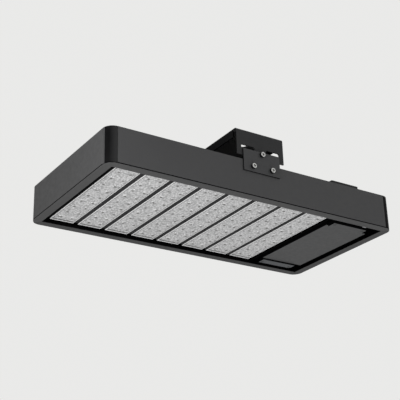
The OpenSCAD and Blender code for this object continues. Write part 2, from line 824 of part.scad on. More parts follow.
module led_driver() color(alu) {
    block([driver_x - driver_w / 2, driver_y0, driver_z],
          [driver_x + driver_w / 2, driver_y1, driver_top]);
    difference() {
        block([driver_x - foot_w / 2, driver_y0 - foot_l, driver_top - foot_t],
              [driver_x + foot_w / 2, driver_y1 + foot_l, driver_top]);
        for (x = [-1, 1], y = [driver_y0 - foot_l / 2, driver_y1 + foot_l / 2])
            translate([driver_x + x * foot_screw_x, y, driver_top - foot_t - cut])
                cylinder(r = m4_r + screw_clear, h = foot_t + 2 * cut);
    }
}

module box_screws() color(steel)
    for (x = [-1, 1], y = [driver_y0 - foot_l / 2, driver_y1 + foot_l / 2])
        translate([driver_x + x * foot_screw_x, y, driver_top - foot_t]) rotate([180, 0, 0])
            m4_screw(foot_t + box_t + roof_t - 2 * seat_gap);

module supply_lead() color(black) {
    y_hole(supply_x, supply_z, supply_r, supply_y + supply_bend, driver_y0);
    translate([supply_x, supply_y + supply_bend, supply_z + supply_bend])
        rotate([90, 0, 90]) rotate([0, 0, 180]) cable_bend(supply_bend, supply_r);
    translate([supply_x, supply_y, supply_z + supply_bend])
        cylinder(r = supply_r, h = top_z + wbox_t - supply_z - supply_bend);
}

// Wiring box

// Plan of the wiring box with its round corners
module wbox_plan() translate([wbox_x, wbox_y]) {
    square([wbox_l - 2 * wbox_corner_r, wbox_w], center = true);
    square([wbox_l, wbox_w - 2 * wbox_corner_r], center = true);
    for (sx = [-1, 1], sy = [-1, 1])
        translate([sx * (wbox_l / 2 - wbox_corner_r), sy * (wbox_w / 2 - wbox_corner_r)])
            circle(r = wbox_corner_r);
}

module wiring_box() color(black) difference() {
    union() {
        difference() {
            translate([0, 0, top_z]) linear_extrude(height = lid_z - top_z) wbox_plan();
            block([wbox_x - wbox_l / 2 + wbox_t, wbox_y0 + wbox_t, top_z + wbox_t],
                  [wbox_x + wbox_l / 2 - wbox_t, wbox_y1 - wbox_t, lid_z + cut]);
        }
        wbox_corners() translate([0, 0, top_z + wbox_t / 2])
            cylinder(r = lid_boss_r, h = lid_z - top_z - wbox_t / 2);
    }
    wbox_corners() translate([0, 0, top_z + wbox_t])
        cylinder(r = m4_r, h = wbox_h);
    for (s = [-1, 1])
        translate([wbox_x, wbox_y + s * wbox_screw_y, top_z - cut])
            cylinder(r = m4_r + screw_clear, h = wbox_t + 2 * cut);
    supply_hole();
    y_hole(wbox_x, gland_z, gland_thread_r, wbox_y1 - wbox_t - cut, wbox_y1 + cut);
}

module wbox_corners() {
    for (sx = [-1, 1], sy = [-1, 1])
        translate([wbox_x + sx * (wbox_l / 2 - lid_boss_r),
                   wbox_y + sy * (wbox_w / 2 - lid_boss_r), 0]) children();
}

module wiring_box_lid() color(black) difference() {
    translate([0, 0, lid_z]) linear_extrude(height = lid_t) wbox_plan();
    wbox_corners() {
        translate([0, 0, lid_z - cut]) cylinder(r = m4_r + screw_clear, h = lid_t + 2 * cut);
        translate([0, 0, lid_z + lid_t - m4_head_h])
            cylinder(r = m4_head_r + screw_clear, h = m4_head_h + cut);
    }
}

module lid_screws() color(steel) wbox_corners()
    translate([0, 0, lid_z + lid_t - m4_head_h]) m4_screw(lid_t + wbox_t);

module terminal_block() color([0.85, 0.85, 0.8])
    block([supply_x - terminal[0] / 2, terminal_y0, top_z + wbox_t],
          [supply_x + terminal[0] / 2, terminal_y0 + terminal[1],
           top_z + wbox_t + terminal[2]]);

module surge_protector() color([0.2, 0.25, 0.45])
    block([wbox_x - surge[0] / 2, terminal_y0 + terminal[1] + surge_gap, top_z + wbox_t],
          [wbox_x + surge[0] / 2, terminal_y0 + terminal[1] + surge_gap + surge[1],
           top_z + wbox_t + surge[2]]);

module cable_gland() color(black) translate([wbox_x, wbox_y1, gland_z]) rotate([-90, 0, 0])
    difference() {
        union() {
            translate([0, 0, -wbox_t - gland_inside_l])
                cylinder(r = gland_thread_r, h = wbox_t + gland_inside_l + gland_flange_t);
            rotate([0, 0, 30]) cylinder(d = gland_af / cos(30), h = gland_flange_t, $fn = 6);
            cylinder(r = gland_thread_r, h = gland_flange_t + gland_thread_l);
        }
        translate([0, 0, -wbox_t - gland_inside_l - cut])
            cylinder(d = gland_bore_d + gland_play,
                     h = wbox_t + gland_inside_l + gland_flange_t + gland_thread_l + 2 * cut);
    }

module gland_nut() color(black)
    translate([wbox_x, wbox_y1 + gland_flange_t, gland_z]) rotate([-90, 0, 0]) difference() {
        cylinder(r = gland_nut_r, h = gland_nut_l);
        translate([0, 0, -cut]) cylinder(r = gland_thread_r, h = gland_nut_l - gland_lip_l + cut);
        cylinder(d = gland_bore_d, h = gland_nut_l + cut);
    }

mounting_bracket();
side_plate_near();
side_plate_far();
pivot_screws();
pivot_washers();
pivot_nuts();
side_plate_screws();
anchor_blocks();
side_profile_near();
side_profile_far();
end_profile_left();
end_profile_right();
corner_posts();
rim_clip();
heat_sink();
heat_sink_screws();
for (i = [0 : module_n - 1]) {
    lens_plate(i);
    led_board(i);
    module_body(i);
}
module_screws();
module_connectors();
harness_cable();
bay_partition();
bay_roof();
roof_screws();
driver_box();
driver_cover();
cover_strip();
cover_screws();
led_driver();
box_screws();
supply_lead();
wiring_box();
wiring_box_lid();
lid_screws();
terminal_block();
surge_protector();
cable_gland();
gland_nut();
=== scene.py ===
# %% [markdown]
# This canopy light is a flat dark frame with eight lens plates in its underside, a driver bay
# behind a steel cover at one end, and a bracket that bolts it under a ceiling. Its sizes come
# from a finished construction, loaded below. The script gives every part the surface that the
# real one has: softened edges, screws with sockets, moulded lenses, and paint that is never
# quite even.

# %% Load the construction
import json
import math

import bmesh
import bpy
from mathutils import Matrix, Quaternion, Vector

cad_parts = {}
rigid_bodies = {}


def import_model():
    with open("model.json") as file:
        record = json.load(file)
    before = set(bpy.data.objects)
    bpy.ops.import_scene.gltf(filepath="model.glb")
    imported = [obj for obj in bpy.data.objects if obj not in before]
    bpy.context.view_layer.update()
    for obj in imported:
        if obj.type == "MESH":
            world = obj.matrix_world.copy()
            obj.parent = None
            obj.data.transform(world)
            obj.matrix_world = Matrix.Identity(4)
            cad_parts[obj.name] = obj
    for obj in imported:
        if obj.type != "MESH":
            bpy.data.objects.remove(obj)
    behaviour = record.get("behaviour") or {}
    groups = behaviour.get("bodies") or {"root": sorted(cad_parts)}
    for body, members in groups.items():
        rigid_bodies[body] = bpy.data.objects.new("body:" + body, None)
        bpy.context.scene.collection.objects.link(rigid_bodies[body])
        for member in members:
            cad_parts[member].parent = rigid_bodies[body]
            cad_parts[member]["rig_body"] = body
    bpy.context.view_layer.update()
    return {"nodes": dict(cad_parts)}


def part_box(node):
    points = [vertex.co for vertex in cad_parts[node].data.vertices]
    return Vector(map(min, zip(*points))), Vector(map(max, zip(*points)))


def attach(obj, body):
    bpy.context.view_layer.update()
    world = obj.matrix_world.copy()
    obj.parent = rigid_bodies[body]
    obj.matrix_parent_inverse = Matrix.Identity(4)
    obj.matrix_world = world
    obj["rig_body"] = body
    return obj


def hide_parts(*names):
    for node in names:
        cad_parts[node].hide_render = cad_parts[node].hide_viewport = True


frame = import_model()
nodes = frame["nodes"]
mm = 0.001
print("parts loaded:", len(nodes))

# %% [markdown]
# The camera looks up at the light from its left, as someone below the canopy would. A long lens
# far away keeps the long edges nearly parallel. Its place is worked out from two angles and a
# distance, which is easier to change than a matrix: the last turn tilts the picture a little.

# %% Camera
photo_azimuth = math.radians(-33.471)
photo_elevation = math.radians(-23.369)
photo_roll = math.radians(-1.652)
photo_distance = 2.05
photo_aim = Vector((-0.0219, 0.0201, -0.0762))
photo_lens = 90.782
film_width = 36


def link(thing):
    bpy.context.scene.collection.objects.link(thing)
    return thing


def direction(azimuth, elevation):
    """Unit vector from the light towards a place at that azimuth and height."""
    flat = math.cos(elevation)
    return Vector((math.sin(azimuth) * flat, -math.cos(azimuth) * flat, math.sin(elevation)))


def place_camera():
    away = direction(photo_azimuth, photo_elevation)
    lens = bpy.data.cameras.new("photo_camera")
    lens.lens = photo_lens
    lens.sensor_width = film_width
    camera = link(bpy.data.objects.new("photo_camera", lens))
    turn = (-away).to_track_quat("-Z", "Y") @ Quaternion((0, 0, 1), photo_roll)
    spot = photo_aim + photo_distance * away
    camera.matrix_world = Matrix.Translation(spot) @ turn.to_matrix().to_4x4()
    bpy.context.scene.camera = camera
    print("camera at", [round(value, 3) for value in spot])


place_camera()

# %% [markdown]
# Every finish here is a layer of nodes on one shader. Fine noise pushes the surface in and out,
# a wider noise makes the colour and the gloss drift, and the softened edges, which carry a value
# of their own on the mesh, show where handling has polished the paint. Object coordinates keep a
# pattern at its real size on every part, so a grain of one millimetre is one millimetre.

# %% Helpers for finishes
def new_finish(name, roughness, metallic=0.0, specular=0.5):
    finish = bpy.data.materials.new(name)
    finish.use_nodes = True
    shader = finish.node_tree.nodes["Principled BSDF"]
    shader.inputs["Roughness"].default_value = roughness
    shader.inputs["Metallic"].default_value = metallic
    shader.inputs["Specular IOR Level"].default_value = specular
    return finish, finish.node_tree, shader


def on_surface(tree, stretch=(1, 1, 1)):
    """Object coordinates, drawn out along an axis where stretch is below one."""
    place = tree.nodes.new("ShaderNodeTexCoord")
    mapping = tree.nodes.new("ShaderNodeMapping")
    mapping.inputs["Scale"].default_value = stretch
    tree.links.new(place.outputs["Object"], mapping.inputs["Vector"])
    return mapping.outputs["Vector"]


def noise(tree, vector, size, detail=2.0):
    """Noise whose lumps are about size metres wide."""
    node = tree.nodes.new("ShaderNodeTexNoise")
    node.inputs["Scale"].default_value = 1 / size
    node.inputs["Detail"].default_value = detail
    tree.links.new(vector, node.inputs["Vector"])
    return node.outputs["Fac"]


def remap(tree, value, low, high, new_low, new_high):
    node = tree.nodes.new("ShaderNodeMapRange")
    for name, number in (("From Min", low), ("From Max", high),
                         ("To Min", new_low), ("To Max", new_high)):
        node.inputs[name].default_value = number
    tree.links.new(value, node.inputs["Value"])
    return node.outputs["Result"]


def multiply(tree, first, second):
    node = tree.nodes.new("ShaderNodeMath")
    node.operation = "MULTIPLY"
    tree.links.new(first, node.inputs[0])
    tree.links.new(second, node.inputs[1])
    return node.outputs["Value"]


def mix_colour(tree, share, first, second):
    """Mix of two colours; each is a colour or the output of a node."""
    node = tree.nodes.new("ShaderNodeMix")
    node.data_type = "RGBA"
    tree.links.new(share, node.inputs["Factor"])
    for name, colour in (("A", first), ("B", second)):
        socket = [entry for entry in node.inputs if entry.name == name and entry.type == "RGBA"][0]
        if isinstance(colour, tuple):
            socket.default_value = (*colour, 1)
        else:
            tree.links.new(colour, socket)
    return [entry for entry in node.outputs if entry.type == "RGBA"][0]


def rise(tree, shader, height, depth):
    """Pushes the surface by depth metres where height is 1."""
    node = tree.nodes.new("ShaderNodeBump")
    node.inputs["Distance"].default_value = depth
    tree.links.new(height, node.inputs["Height"])
    tree.links.new(node.outputs["Normal"], shader.inputs["Normal"])


def shaded(colour, factor):
    return tuple(channel * factor for channel in colour)


# %% [markdown]
# The frame is powder coated: the powder melts into a skin with an orange-peel grain about one
# millimetre wide. Folded sheet, the bracket and the bay wear the same kind of coat in other
# tones, so one function makes them all. Some coats are painted light and shade: two rims and the
# bracket web's underside are a little paler below as painted light, and the bay, folds, grooves
# and inner faces are nearly black as painted shade. Edges turn slightly lighter where they have
# been rubbed.

# %% Powder coats
peel_size = 1.1 * mm
peel_depth = 0.02 * mm
drift_size = 60 * mm
scuff_size = 9 * mm
rubbed_lighter = 2.2


def powder_coat(name, colour, roughness=0.5, specular=0.35):
    finish, tree, shader = new_finish(name, roughness, specular=specular)
    where = on_surface(tree)
    drift = noise(tree, where, drift_size)
    scuffs = noise(tree, where, scuff_size, 4.0)
    edge = tree.nodes.new("ShaderNodeAttribute")
    edge.attribute_name = "edge_wear"
    base = mix_colour(tree, drift, shaded(colour, 0.94), shaded(colour, 1.06))
    rubbed = multiply(tree, edge.outputs["Fac"], remap(tree, scuffs, 0.45, 0.7, 0.1, 1.0))
    worn = mix_colour(tree, rubbed, base, shaded(colour, rubbed_lighter))
    tree.links.new(worn, shader.inputs["Base Color"])
    gloss = remap(tree, scuffs, 0.3, 0.7, roughness - 0.04, roughness + 0.05)
    tree.links.new(gloss, shader.inputs["Roughness"])
    rise(tree, shader, noise(tree, where, peel_size), peel_depth)
    return finish


frame_coat = powder_coat("frame_coat", (0.038, 0.038, 0.039), specular=0.2)
# Painted light: a paler copy of the frame coat for faces below that stands in for more light there.
painted_light_coat = powder_coat("painted_light_coat", (0.053, 0.053, 0.054), specular=0.2)
sheet_coat = powder_coat("sheet_coat", (0.04, 0.0405, 0.042), roughness=0.46)
strip_coat = powder_coat("strip_coat", (0.0425, 0.046, 0.0515), roughness=0.42)
bracket_coat = powder_coat("bracket_coat", (0.0175, 0.0177, 0.0183), roughness=0.55, specular=0.15)
plate_coat = powder_coat("plate_coat", (0.0385, 0.0388, 0.0398), roughness=0.55, specular=0.15)
# Painted shade: near black for the driver bay and the thin gaps round the cover, where shade falls.
bay_coat = powder_coat("bay_coat", (0.0016, 0.0016, 0.0018), roughness=0.85, specular=0.03)
# Painted shade: near black for grooves, folded lips, cut edges and faces that look into the
# housing.
painted_shade_coat = powder_coat("painted_shade_coat", (0.0038, 0.0038, 0.0042), roughness=0.75, specular=0.04)
module_coat = powder_coat("module_coat", (0.032, 0.032, 0.033), roughness=0.7, specular=0.06)
print("powder coats:", [finish.name for finish in bpy.data.materials])

# %% [markdown]
# Bare and plated metal is told apart by its grain. Extruded and rolled aluminium has long fine
# lines along its length, while zinc on a screw is a soft, nearly even grey with small blotches.
# Stretching the coordinates along one axis turns round noise into such lines. The large screws'
# head sides are painted shade, so there is a near-black steel with hardly any gloss as well.

# %% Metals
wide_line = 0.6 * mm
line_depth = 0.01 * mm
even = (1, 1, 1)


def lined_metal(name, colour, roughness, stretch, metallic=1.0, line_size=wide_line, specular=0.5):
    finish, tree, shader = new_finish(name, roughness, metallic=metallic, specular=specular)
    lines = noise(tree, on_surface(tree, stretch), line_size, 3.0)
    blotches = noise(tree, on_surface(tree), scuff_size)
    base = mix_colour(tree, lines, shaded(colour, 0.82), shaded(colour, 1.1))
    tree.links.new(mix_colour(tree, blotches, base, colour), shader.inputs["Base Color"])
    gloss = remap(tree, lines, 0.3, 0.7, roughness - 0.06, roughness + 0.08)
    tree.links.new(gloss, shader.inputs["Roughness"])
    rise(tree, shader, lines, line_depth)
    return finish


sink_anodised = lined_metal("sink_anodised", (0.055, 0.055, 0.057), 0.42, (1, 0.02, 0.3),
                            metallic=0.3)
plain_aluminium = lined_metal("plain_aluminium", (0.42, 0.43, 0.44), 0.38, (0.03, 1, 1))
bright_steel = lined_metal("bright_steel", (0.36, 0.36, 0.352), 0.36, even, line_size=0.9 * mm)
spring_steel = lined_metal("spring_steel", (0.22, 0.22, 0.227), 0.5, (1, 1, 0.1), metallic=0.3)
# Painted shade: the large screws' head sides are near black, standing in for shade on them.
dark_steel = lined_metal("dark_steel", (0.004, 0.004, 0.0045), 0.6, even, metallic=0.0,
                         specular=0.08)

# %% [markdown]
# Mouldings come out of a spark-eroded tool with a fine even grain. The lens plates are frosted
# between their lenses: many small facets break the light, so from a distance the plate looks
# speckled. A Voronoi pattern gives each facet its own tone and tilts it a little. The tip of each
# lens is a clear window over the chip, which looks dark while the light is off. The plate's groove
# is darkened as painted shade and its lip is paler as a painted highlight. The posts at the corners
# read a value from their mesh, which says where their painted sheen begins.

# %% Plastics and rubber
mould_grain = 0.35 * mm
grain_depth = 0.01 * mm
facet_size = 4.2 * mm
fine_facet_size = 2.2 * mm
facet_depth = 0.25 * mm


def moulded(name, colour, roughness, specular=0.4, grain=mould_grain):
    finish, tree, shader = new_finish(name, roughness, specular=specular)
    where = on_surface(tree)
    cloud = noise(tree, where, drift_size / 2)
    base = mix_colour(tree, cloud, shaded(colour, 0.9), shaded(colour, 1.1))
    tree.links.new(base, shader.inputs["Base Color"])
    scuffs = noise(tree, where, scuff_size, 4.0)
    gloss = remap(tree, scuffs, 0.3, 0.7, roughness - 0.05, roughness + 0.05)
    tree.links.new(gloss, shader.inputs["Roughness"])
    rise(tree, shader, noise(tree, where, grain), grain_depth)
    return finish


def facets(tree, where, size):
    node = tree.nodes.new("ShaderNodeTexVoronoi")
    node.inputs["Scale"].default_value = 1 / size
    tree.links.new(where, node.inputs["Vector"])
    return node


def frosted_lens(name, dark, light):
    """Frosted plastic whose facets run from dark to light."""
    finish, tree, shader = new_finish(name, 0.6, specular=0.25)
    where = on_surface(tree)
    wide = facets(tree, where, facet_size)
    fine = facets(tree, where, fine_facet_size)
    tone = multiply(tree, remap(tree, wide.outputs["Distance"], 0.1, 0.8, 1.0, 0.26),
                    remap(tree, fine.outputs["Distance"], 0.1, 0.9, 1.0, 0.52))
    tree.links.new(mix_colour(tree, tone, dark, light), shader.inputs["Base Color"])
    rise(tree, shader, wide.outputs["Distance"], facet_depth)
    return finish


def sheen_painted_moulding(name, dark, pale):
    """Black plastic with a painted sheen, paler where the sheen value rises to 1."""
    finish, tree, shader = new_finish(name, 0.5, specular=0.03)
    where = on_surface(tree)
    painted_sheen = tree.nodes.new("ShaderNodeAttribute")
    painted_sheen.attribute_name = "painted_sheen"
    plain = mix_colour(tree, painted_sheen.outputs["Fac"], dark, pale)
    cloud = noise(tree, where, drift_size / 2)
    base = mix_colour(tree, remap(tree, cloud, 0.3, 0.7, 0.0, 0.12), plain, pale)
    tree.links.new(base, shader.inputs["Base Color"])
    gloss = remap(tree, noise(tree, where, scuff_size, 4.0), 0.3, 0.7, 0.45, 0.55)
    tree.links.new(gloss, shader.inputs["Roughness"])
    rise(tree, shader, noise(tree, where, mould_grain), grain_depth)
    return finish


# Painted reflection: the posts' black is partly a dark reflection, and their paler part a painted
# sheen.
corner_plastic = sheen_painted_moulding("corner_plastic", (0.0022, 0.0022, 0.0025),
                                 (0.018, 0.018, 0.0185))
black_plastic = moulded("black_plastic", (0.0055, 0.0055, 0.006), 0.5, specular=0.2)
lens_plastic = frosted_lens("lens_plastic", (0.18, 0.18, 0.184), (0.8, 0.8, 0.805))
# Painted shade for the plate's seal groove and sides, and a painted highlight for its paler lip.
lens_groove_shade = moulded("lens_groove_shade", (0.085, 0.085, 0.087), 0.5)
lens_lip_highlight = moulded("lens_lip_highlight", (0.7, 0.7, 0.705), 0.35)
chip_window = moulded("chip_window", (0.15, 0.15, 0.146), 0.3)
board_white = moulded("board_white", (0.72, 0.73, 0.7), 0.4)
pale_plastic = moulded("pale_plastic", (0.6, 0.6, 0.56), 0.5)
blue_plastic = moulded("blue_plastic", (0.02, 0.04, 0.14), 0.45)
cable_rubber = moulded("cable_rubber", (0.012, 0.012, 0.012), 0.6, grain=0.8 * mm)
print("finishes:", len(bpy.data.materials))

# %% [markdown]
# Each part starts from the construction's own mesh and is then worked on, or is built new where
# the real part has more to it. Either way it ends here: normals are made to point outwards, the
# surface is shaded smooth with its normals weighted by the size of the faces, and the piece takes
# its part's place and body.

# %% Turning a mesh into a piece
smooth_limit = math.radians(40)
sharp_limit = math.radians(35)
flat_limit = math.radians(0.5)
merge_gap = 0.001 * mm


def finish_piece(name, bm, finishes, replaced):
    bmesh.ops.recalc_face_normals(bm, faces=bm.faces)
    mesh = bpy.data.meshes.new(name)
    bm.to_mesh(mesh)
    bm.free()
    for finish in finishes:
        mesh.materials.append(finish)
    mesh.shade_smooth()
    mesh.set_sharp_from_angle(angle=smooth_limit)
    piece = link(bpy.data.objects.new(name, mesh))
    weighted = piece.modifiers.new("even_normals", "WEIGHTED_NORMAL")
    weighted.keep_sharp = True
    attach(piece, nodes[replaced[0]]["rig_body"])
    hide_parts(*replaced)


def copy_of(node):
    """A node's mesh with its loose triangles merged and its flat faces made whole again."""
    bm = bmesh.new()
    bm.from_mesh(nodes[node].data)
    bmesh.ops.remove_doubles(bm, verts=bm.verts, dist=merge_gap)
    bmesh.ops.dissolve_limit(bm, angle_limit=flat_limit, verts=bm.verts, edges=bm.edges)
    return bm


def sharp_edges(bm):
    return [edge for edge in bm.edges if edge.is_manifold and edge.calc_face_angle(0) > sharp_limit]


def soften(bm, width, segments=2, edges=None):
    """Rounds the edges by width and marks the new faces as worn."""
    wear = bm.faces.layers.float.get("edge_wear") or bm.faces.layers.float.new("edge_wear")
    rounded = bmesh.ops.bevel(bm, geom=sharp_edges(bm) if edges is None else edges, offset=width,
                              segments=segments, profile=0.5, affect="EDGES", material=-1,
                              clamp_overlap=True)
    for face in rounded["faces"]:
        face[wear] = 1.0


def softened_part(node, finish, width=0.4 * mm, segments=2):
    bm = copy_of(node)
    soften(bm, width, segments)
    count = len(bm.faces)
    finish_piece(f"soft_{node}", bm, [finish], [node])
    print(node, "edges softened,", count, "faces")


# %% [markdown]
# The housing is four extruded profiles with a mitred rim, joined by a moulded post at each
# corner. Extrusions come off the saw and out of the paint with edges about half a millimetre
# round, and that thin bright line along each edge is what tells the eye how big they are. The
# rims' round corners get more points before that, so that the outline stays a true curve. A seam
# groove runs round the housing just above the rim. Its mouth is rounded first and wider. Its
# inside is painted shade, near black, as are all faces that look into the housing. The near and
# the left rim are a little paler below than the rest, as painted light. A face counts as looking
# down or sideways where its normal has more than half its length that way.

# %% Housing profiles
corner_r = 20 * mm
arc_play = 0.02 * mm
arc_cuts = 3


def corner_centres():
    low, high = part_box("corner_posts")
    return [Vector((x, y, 0)) for x in (low.x + corner_r, high.x - corner_r)
            for y in (low.y + corner_r, high.y - corner_r)]


def refine_corners(bm):
    """Adds points to level edges on a corner's arc and sets them on the true circle."""
    def centre_of(vert):
        for centre in corner_centres():
            if abs((vert.co.xy - centre.xy).length - corner_r) < arc_play:
                return centre
        return None

    arc_edges = [edge for edge in bm.edges
                 if abs(edge.verts[0].co.z - edge.verts[1].co.z) < merge_gap
                 and edge.calc_length() < corner_r / 2
                 and centre_of(edge.verts[0]) is not None
                 and centre_of(edge.verts[0]) == centre_of(edge.verts[1])]
    cut = bmesh.ops.subdivide_edges(bm, edges=arc_edges, cuts=arc_cuts, use_grid_fill=True)
    for vert in {item for item in cut["geom_inner"] if isinstance(item, bmesh.types.BMVert)}:
        centre = min(corner_centres(), key=lambda spot: (vert.co.xy - spot.xy).length)
        outward = (vert.co.xy - centre.xy).normalized() * corner_r
        vert.co.x, vert.co.y = centre.x + outward.x, centre.y + outward.y
    return len(arc_edges)


groove_low = -136.45 * mm
groove_high = -134.25 * mm
groove_round = 0.6 * mm
profile_round = 0.35 * mm
groove_skin = 0.02 * mm
ledge_depth = 1.8 * mm
inward_share = 0.2
facing = 0.5
inside_shade_finish, below_finish = 1, 2
housing_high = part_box("corner_posts")[1]


def depth_inside(spot):
    """How far a place lies inside the housing's outline."""
    past_x = abs(spot.x) - housing_high.x + corner_r
    past_y = abs(spot.y) - housing_high.y + corner_r
    if past_x > 0 and past_y > 0:
        return corner_r - math.hypot(past_x, past_y)
    return corner_r - max(past_x, past_y)


def groove_edges(bm):
    """The sharp edges where the seam groove opens to the outside."""
    return [edge for edge in sharp_edges(bm)
            if all(groove_low < vert.co.z < groove_high and depth_inside(vert.co) < groove_skin
                   for vert in edge.verts)]


def paint_inner_shade_and_rim(bm):
    """Painted shade, the second finish, for the seam groove and the faces that look inwards; the
    third finish, painted light on two rims, for the rim below.
    """
    for face in bm.faces:
        spot = face.calc_center_median()
        inwards = face.normal.xy.dot(-spot.xy) > inward_share * spot.xy.length
        down = face.normal.z < -facing
        in_groove = groove_low < spot.z < groove_high and depth_inside(spot) > groove_skin
        behind_wall = depth_inside(spot) > ledge_depth and spot.z > groove_high
        # Painted shade in the groove and on faces inside the housing; faces below get the rim's
        # finish.
        if in_groove or (behind_wall and (inwards or down)):
            face.material_index = inside_shade_finish
        elif down and spot.z < groove_low:
            face.material_index = below_finish


for profile in ("side_profile_near", "side_profile_far", "end_profile_left", "end_profile_right"):
    bm = copy_of(profile)
    arcs = refine_corners(bm)
    soften(bm, groove_round, 3, groove_edges(bm))
    soften(bm, profile_round)
    bm.normal_update()
    paint_inner_shade_and_rim(bm)
    dark = sum(face.material_index == inside_shade_finish for face in bm.faces)
    print(profile, "arc edges refined:", arcs, "faces:", len(bm.faces), "black:", dark)
    # Painted light: the near and the left rim are paler below than the others.
    rim = painted_light_coat if profile in ("side_profile_near", "end_profile_left") else frame_coat
    finish_piece(f"soft_{profile}", bm, [frame_coat, painted_shade_coat, rim], [profile])

# %% [markdown]
# The corner posts are black mouldings, and their black is partly painted shade, a dark reflection
# that the round corner catches. Seen from the end, that black starts a little way round the
# corner, so the first part of each arc wears the frame's coat. On the left posts the part towards
# the long side is a painted sheen, paler than the middle, while the right posts stay black. Both
# are a matter of the angle round the corner, so the angle is worked out for each face, and the
# sheen is kept as a value on the mesh.

# %% Corner posts
post_skin = 0.4 * mm
post_round = 0.4 * mm
reflection_starts = math.radians(18)
black_until = math.radians(46)
pale_from = math.radians(80)

bm = copy_of("corner_posts")
refine_corners(bm)
soften(bm, post_round)
painted_sheen = bm.faces.layers.float.new("painted_sheen")
for face in bm.faces:
    spot = face.calc_center_median()
    centre = min(corner_centres(), key=lambda place: (spot.xy - place.xy).length)
    reach = spot.xy - centre.xy
    turned = math.atan2(abs(reach.y), abs(reach.x))
    on_outside = reach.length > corner_r - post_skin and depth_inside(spot) < corner_r
    # Frame coat up to where the painted dark reflection starts.
    if on_outside and turned < reflection_starts:
        face.material_index = 1
    # Painted sheen: on the left posts the part towards the long side is made paler.
    if spot.x < 0:
        face[painted_sheen] = min(1, max(0, (turned - black_until) / (pale_from - black_until)))
finish_piece("soft_corner_posts", bm, [corner_plastic, frame_coat],
             ["corner_posts"])
softened_part("rim_clip", spring_steel, width=0.25 * mm)

# %% [markdown]
# The heat sink, the bay's roof, its partition and its box are mostly seen from above and through
# the gaps from below. They are plain sheet and extrusion, so softened edges and the right coat
# are all they need; the partition and the box are near black as painted shade of the deep bay.
# The cover and its strip wear their coat only on the face that looks down. Their cut edges and
# the groove between them are near black as painted shade, so that the thin gaps stay dark.

# %% Heat sink, bay and inner parts
cover_groove_z = -133.2 * mm
cover_round = 0.3 * mm
modules = range(1, 9)

softened_part("heat_sink", sink_anodised, width=0.3 * mm, segments=1)
softened_part("bay_roof", sheet_coat, width=0.35 * mm)
softened_part("bay_partition", bay_coat, width=0.3 * mm)
softened_part("driver_box", bay_coat, width=0.3 * mm)
for node, coat in (("driver_cover", sheet_coat), ("cover_strip", strip_coat)):
    bm = copy_of(node)
    soften(bm, cover_round)
    bm.normal_update()
    # Painted shade: faces that don't look down and the groove get the near-black bay coat.
    for face in bm.faces:
        in_groove = face.calc_center_median().z > cover_groove_z
        face.material_index = 1 if face.normal.z > -facing or in_groove else 0
    finish_piece(f"soft_{node}", bm, [coat, bay_coat], [node])
softened_part("led_driver", plain_aluminium, width=0.8 * mm)
softened_part("anchor_blocks", plain_aluminium, width=0.5 * mm)
for number in modules:
    softened_part(f"module_body_{number}", module_coat, width=0.5 * mm)

# %% [markdown]
# The bracket is bent from three millimetre sheet and the side plates are cut from it. A laser
# leaves a sharp edge that tumbling takes off, so the edge here is smaller than on the profiles.
# Some faces get other finishes, as painted light and shade: the folded lips and the plates' cut
# edges are near black as painted shade, and the underside of the web is paler as painted light.

# %% Bracket and side plates
lip_from = 51 * mm
leg_inside = 155 * mm
below_top = -0.5 * mm
bend_round = 0.35 * mm

bm = copy_of("mounting_bracket")
soften(bm, bend_round)
bm.normal_update()
# Painted shade on the folded lips, near black; painted light under the web, paler.
for face in bm.faces:
    spot = face.calc_center_median()
    if spot.z < below_top and abs(spot.y) < leg_inside:
        if abs(spot.x) > lip_from:
            face.material_index = 1
        elif face.normal.z < -facing:
            face.material_index = 2
finish_piece("soft_mounting_bracket", bm, [bracket_coat, painted_shade_coat, painted_light_coat],
             ["mounting_bracket"])
for node in ("side_plate_near", "side_plate_far"):
    bm = copy_of(node)
    soften(bm, bend_round)
    bm.normal_update()
    # Painted shade: the plates' cut edges are near black, standing in for the plates' shadow.
    for face in bm.faces:
        face.material_index = 1 if abs(face.normal.y) < facing else 0
    finish_piece(f"soft_{node}", bm, [plate_coat, painted_shade_coat], [node])

# %% [markdown]
# A lens plate is one moulding: eighteen shallow lenses in two rows, a groove for the seal round
# them, and a plain lip outside. It is modelled as a patchwork. Each lens has its own rectangle,
# joined to the foot of its dome with bridge_loops; the dome grows from that ring by extruding its
# edge and shrinking it, first shallow and then up a small stud, which is the window over the chip
# and has a finish of its own. The rectangles are then merged and the outer edge is extruded step
# by step through groove, lip and side. Groove and sides are darkened as painted shade and the lip
# is paler as a painted highlight, which draws the plate's edges.

# %% Lens plates
lens_rows = 9
lens_pitch_x = 24 * mm
lens_foot_r = 5.5 * mm
lens_high = 2.2 * mm
lens_end = 23.4 * mm
lens_steps = 12
seal_edge = (2.2 * mm, 4.5 * mm)
seal_width = (1.0 * mm, 4.0 * mm)
seal_depth = 0.6 * mm
lip_round = 0.4 * mm
dome_shares = ((0.92, 0.25), (0.76, 0.45), (0.56, 0.56), (0.47, 0.59), (0.45, 0.84), (0.3, 1.0))
stud_from = 4
groove_steps = (0, 1, 2)
side_step = 5
window_finish, groove_shade_finish, lip_highlight_finish = 1, 2, 3


def pull_out(bm, edges, scale, z):
    """Extrudes an edge loop, scales it about the plate's middle and sets its height."""
    grown = bmesh.ops.extrude_edge_only(bm, edges=edges)["geom"]
    verts = [item for item in grown if isinstance(item, bmesh.types.BMVert)]
    bmesh.ops.scale(bm, verts=verts, vec=(scale[0], scale[1], 1))
    bmesh.ops.translate(bm, verts=verts, vec=(0, 0, z - verts[0].co.z))
    return [item for item in grown if isinstance(item, bmesh.types.BMEdge)], [
        item for item in grown if isinstance(item, bmesh.types.BMFace)]


